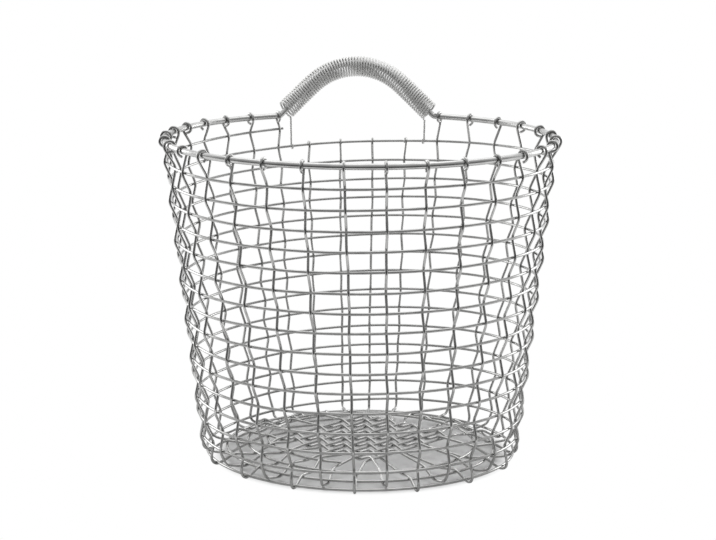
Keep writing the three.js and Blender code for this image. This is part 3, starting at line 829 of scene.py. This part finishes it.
class BASKET_OT_zigzag_wires(bpy.types.Operator):
    """Weave the warps that pass over and under the straight ones in the base"""

    bl_idname = "basket.zigzag_wires"
    bl_label = "Zigzag base wires and their warps"

    def execute(self, context):
        sizes = context.scene.basket_sizes
        wires = mat_wires(sizes)
        places = sizes.mat_pitch * (np.arange(wires) - (wires - 1) / 2)
        swing = zigzag_swing(sizes, sizes.mat_pitch)
        # Straight legs between the crossings, over one straight wire and under the next.
        for k in range(wires):
            over = np.where((k + np.arange(wires)) % 2, 1.0, -1.0)
            stations = np.linspace(places[-1], places[0], ZIGZAG_POINTS)
            heights = base_height(sizes) + sizes.mat_rise + swing * np.interp(stations, places, over)
            middle = mat_run(sizes, sizes.mat_angle - np.pi / 2, places[k], stations, heights)
            near, far = 3 * wires + k, 2 * wires - 1 - k
            piece = through_wire(sizes, numbered("zigzag_wire", k), near, middle, far)
            put(piece, weave_steel(context), [
                numbered("warp", near), numbered("base_zigzag", k), numbered("warp", far)])
        return {"FINISHED"}


class BASKET_OT_added_wire(bpy.types.Operator):
    """Add the single warp that makes the count odd"""

    bl_idname = "basket.added_wire"
    bl_label = "Added warp"

    def execute(self, context):
        sizes = context.scene.basket_sizes
        paired = 4 * mat_wires(sizes)
        for k in range(sizes.warp_count - paired):
            points, sides = upright(sizes, paired + k)
            inward = points[-1] - around(ADDED_TAIL, warp_angles(sizes)[paired + k], 0)
            points, sides = np.vstack((points, inward)), np.vstack((sides, sides[-1:]))
            piece = woven_wire(sizes, numbered("added_wire", k), points, sides)
            put(piece, weave_steel(context), [
                numbered("warp", paired + k), numbered("base_added", k)])
        return {"FINISHED"}


class BASKET_OT_stage(bpy.types.Operator):
    """Set the floor, the soft lights and the camera"""

    bl_idname = "basket.stage"
    bl_label = "Stage"

    def execute(self, context):
        scene, finish = context.scene, context.scene.basket_finish
        self.floor(scene, finish)
        self.world(scene, finish)
        for softbox in SOFTBOXES:
            self.lamp(scene, *softbox)
        self.camera(scene)
        scene.view_settings.view_transform = "Standard"
        return {"FINISHED"}

    def floor(self, scene, finish):
        """White paper that goes back from the basket and up a wall. Under the basket the lamps light
        it and it keeps the real shadow, which the paper's slightly grey colour deepens as painted
        shade. Outside that it is plain white to the camera, and a little further out also to metal
        and glass that mirror it. In front of the basket they mirror a dark grey floor on the camera's
        side instead, which is painted shade."""
        mesh = bpy.data.meshes.new("floor")
        edges = ((-PAPER_REACH, 0), (WALL_PLACE, 0), (WALL_PLACE, WALL_HEIGHT))
        corners = [(x, y, z) for y, z in edges for x in (-PAPER_REACH, PAPER_REACH)]
        mesh.from_pydata(corners, [], [(0, 1, 3, 2), (2, 3, 5, 4)])
        floor = bpy.data.objects.new("floor", mesh)
        scene.collection.objects.link(floor)
        material = bpy.data.materials.new("floor_paper")
        material.use_nodes = True
        tree = material.node_tree
        tree.nodes.clear()
        place = add(tree, "ShaderNodeTexCoord")
        apart = add(tree, "ShaderNodeSeparateXYZ", Vector=place.outputs["Object"])
        off_axis = add(tree, "ShaderNodeVectorMath", {"operation": "DISTANCE"},
                       _0=place.outputs["Object"], _1=(scene.basket_sizes.base_shift, 0, 0))
        sheet = add(tree, "ShaderNodeMapRange", {"interpolation_type": "SMOOTHSTEP"},
                    Value=apart.outputs["Y"], From_Min=SHEET_EDGE[0], From_Max=SHEET_EDGE[1])
        beside = add(tree, "ShaderNodeMapRange", {"interpolation_type": "SMOOTHSTEP"},
                     Value=off_axis.outputs["Value"],
                     From_Min=WHITE_TO_CAMERA[0], From_Max=WHITE_TO_CAMERA[1])
        beyond = add(tree, "ShaderNodeMapRange", {"interpolation_type": "SMOOTHSTEP"},
                     Value=off_axis.outputs["Value"],
                     From_Min=WHITE_IN_METAL[0], From_Max=WHITE_IN_METAL[1])
        path = add(tree, "ShaderNodeLightPath")
        mirrored = add(tree, "ShaderNodeMath", {"operation": "MAXIMUM"},
                       _0=path.outputs["Is Glossy Ray"], _1=path.outputs["Is Transmission Ray"])
        mirrored = add(tree, "ShaderNodeMath", {"operation": "MULTIPLY"},
                       _0=mirrored.outputs[0], _1=beyond.outputs[0])
        mirrored = add(tree, "ShaderNodeMath", {"operation": "MULTIPLY"},
                       _0=mirrored.outputs[0], _1=sheet.outputs[0])
        share = add(tree, "ShaderNodeMath", {"operation": "MULTIPLY_ADD"},
                    _0=path.outputs["Is Camera Ray"], _1=beside.outputs[0],
                    _2=mirrored.outputs[0])
        # Painted shade: the floor's colour on the camera's side is dark grey, and the paper behind it
        # is pale.
        colour = add(tree, "ShaderNodeMix", {"data_type": "RGBA"}, _0=sheet.outputs[0],
                     _6=linear(finish.floor), _7=linear(finish.paper))
        # Lit paper: real shadow under the basket, deepened by the paper's slightly grey colour as
        # painted shade.
        paper = add(tree, "ShaderNodeBsdfDiffuse", Color=colour.outputs[2])
        white = add(tree, "ShaderNodeEmission", Color=(1, 1, 1, 1), Strength=1.0)
        either = add(tree, "ShaderNodeMixShader", _0=share.outputs[0], _1=paper.outputs[0],
                     _2=white.outputs[0])
        add(tree, "ShaderNodeOutputMaterial", Surface=either.outputs[0])
        mesh.materials.append(material)

    def world(self, scene, finish):
        """A grey room with a pale ceiling: its brightness rises with the height that one looks at.
        To the camera it is plain white, and behind the basket also to metal and glass."""
        world = bpy.data.worlds.new("studio")
        world.use_nodes = True
        scene.world = world
        tree = world.node_tree
        tree.nodes.clear()
        place = add(tree, "ShaderNodeTexCoord")
        apart = add(tree, "ShaderNodeSeparateXYZ", Vector=place.outputs["Generated"])
        height = add(tree, "ShaderNodeMapRange", Value=apart.outputs["Z"], From_Min=0.0, From_Max=1.0)
        colour = add(tree, "ShaderNodeMix", {"data_type": "RGBA"}, _0=height.outputs[0],
                     _6=linear(finish.room), _7=linear(finish.ceiling))
        room = add(tree, "ShaderNodeBackground", Color=colour.outputs[2], Strength=1.0)
        behind = add(tree, "ShaderNodeMapRange", {"interpolation_type": "SMOOTHSTEP"},
                     Value=apart.outputs["Y"],
                     From_Min=WHITE_BEHIND[0], From_Max=WHITE_BEHIND[1])
        path = add(tree, "ShaderNodeLightPath")
        mirrored = add(tree, "ShaderNodeMath", {"operation": "MAXIMUM"},
                       _0=path.outputs["Is Glossy Ray"], _1=path.outputs["Is Transmission Ray"])
        share = add(tree, "ShaderNodeMath", {"operation": "MULTIPLY_ADD"},
                    _0=mirrored.outputs[0], _1=behind.outputs[0], _2=path.outputs["Is Camera Ray"])
        white = add(tree, "ShaderNodeBackground", Color=(1, 1, 1, 1), Strength=1.0)
        either = add(tree, "ShaderNodeMixShader", _0=share.outputs[0], _1=room.outputs[0],
                     _2=white.outputs[0])
        add(tree, "ShaderNodeOutputWorld", Surface=either.outputs[0])

    def lamp(self, scene, name, size, place, target, power):
        """A square softbox, turned to a target."""
        light = bpy.data.lights.new(name, "AREA")
        light.shape = "SQUARE"
        light.size = size
        light.energy = power
        lamp = bpy.data.objects.new(name, light)
        scene.collection.objects.link(lamp)
        lamp.location = place
        towards = Vector(target) - lamp.location
        lamp.rotation_euler = towards.to_track_quat("-Z", "Y").to_euler()

    def camera(self, scene):
        """At the photograph's place: 1.8 m in front, half a metre up, tilted down a little."""
        data = bpy.data.cameras.new("camera")
        data.sensor_width = SENSOR_WIDTH
        data.sensor_fit = "HORIZONTAL"
        data.lens = FOCAL_LENGTH / PHOTO_WIDTH * SENSOR_WIDTH
        camera = bpy.data.objects.new("camera", data)
        scene.collection.objects.link(camera)
        camera.matrix_world = (Matrix.Translation(CAMERA_PLACE)
                               @ Matrix.Rotation(np.pi / 2 - CAMERA_TILT, 4, "X")
                               @ Matrix.Rotation(CAMERA_ROLL, 4, "Z"))
        scene.camera = camera


class BASKET_PT_panel(bpy.types.Panel):
    """Lists the basket's pieces, its sizes and its colours"""

    bl_idname = "BASKET_PT_panel"
    bl_label = "Wire basket"
    bl_space_type = "VIEW_3D"
    bl_region_type = "UI"
    bl_category = "Basket"

    def draw(self, context):
        for operator in OPERATORS:
            self.layout.operator(operator.bl_idname)
        for group in (context.scene.basket_sizes, context.scene.basket_finish):
            for name in group.__annotations__:
                self.layout.prop(group, name)


OPERATORS = (
    BASKET_OT_rim,
    BASKET_OT_grip,
    BASKET_OT_weft,
    BASKET_OT_straight_wires,
    BASKET_OT_zigzag_wires,
    BASKET_OT_added_wire,
    BASKET_OT_stage,
)
CLASSES = (BasketSizes, BasketFinish, *OPERATORS, BASKET_PT_panel)


def register():
    for each in CLASSES:
        bpy.utils.register_class(each)
    bpy.types.Scene.basket_sizes = bpy.props.PointerProperty(type=BasketSizes)
    bpy.types.Scene.basket_finish = bpy.props.PointerProperty(type=BasketFinish)


def unregister():
    del bpy.types.Scene.basket_finish
    del bpy.types.Scene.basket_sizes
    for each in reversed(CLASSES):
        bpy.utils.unregister_class(each)


def main():
    register()
    bpy.ops.basket.rim()
    bpy.ops.basket.grip()
    bpy.ops.basket.weft()
    bpy.ops.basket.straight_wires()
    bpy.ops.basket.zigzag_wires()
    bpy.ops.basket.added_wire()
    bpy.ops.basket.stage()


if __name__ == "__main__":
    main()
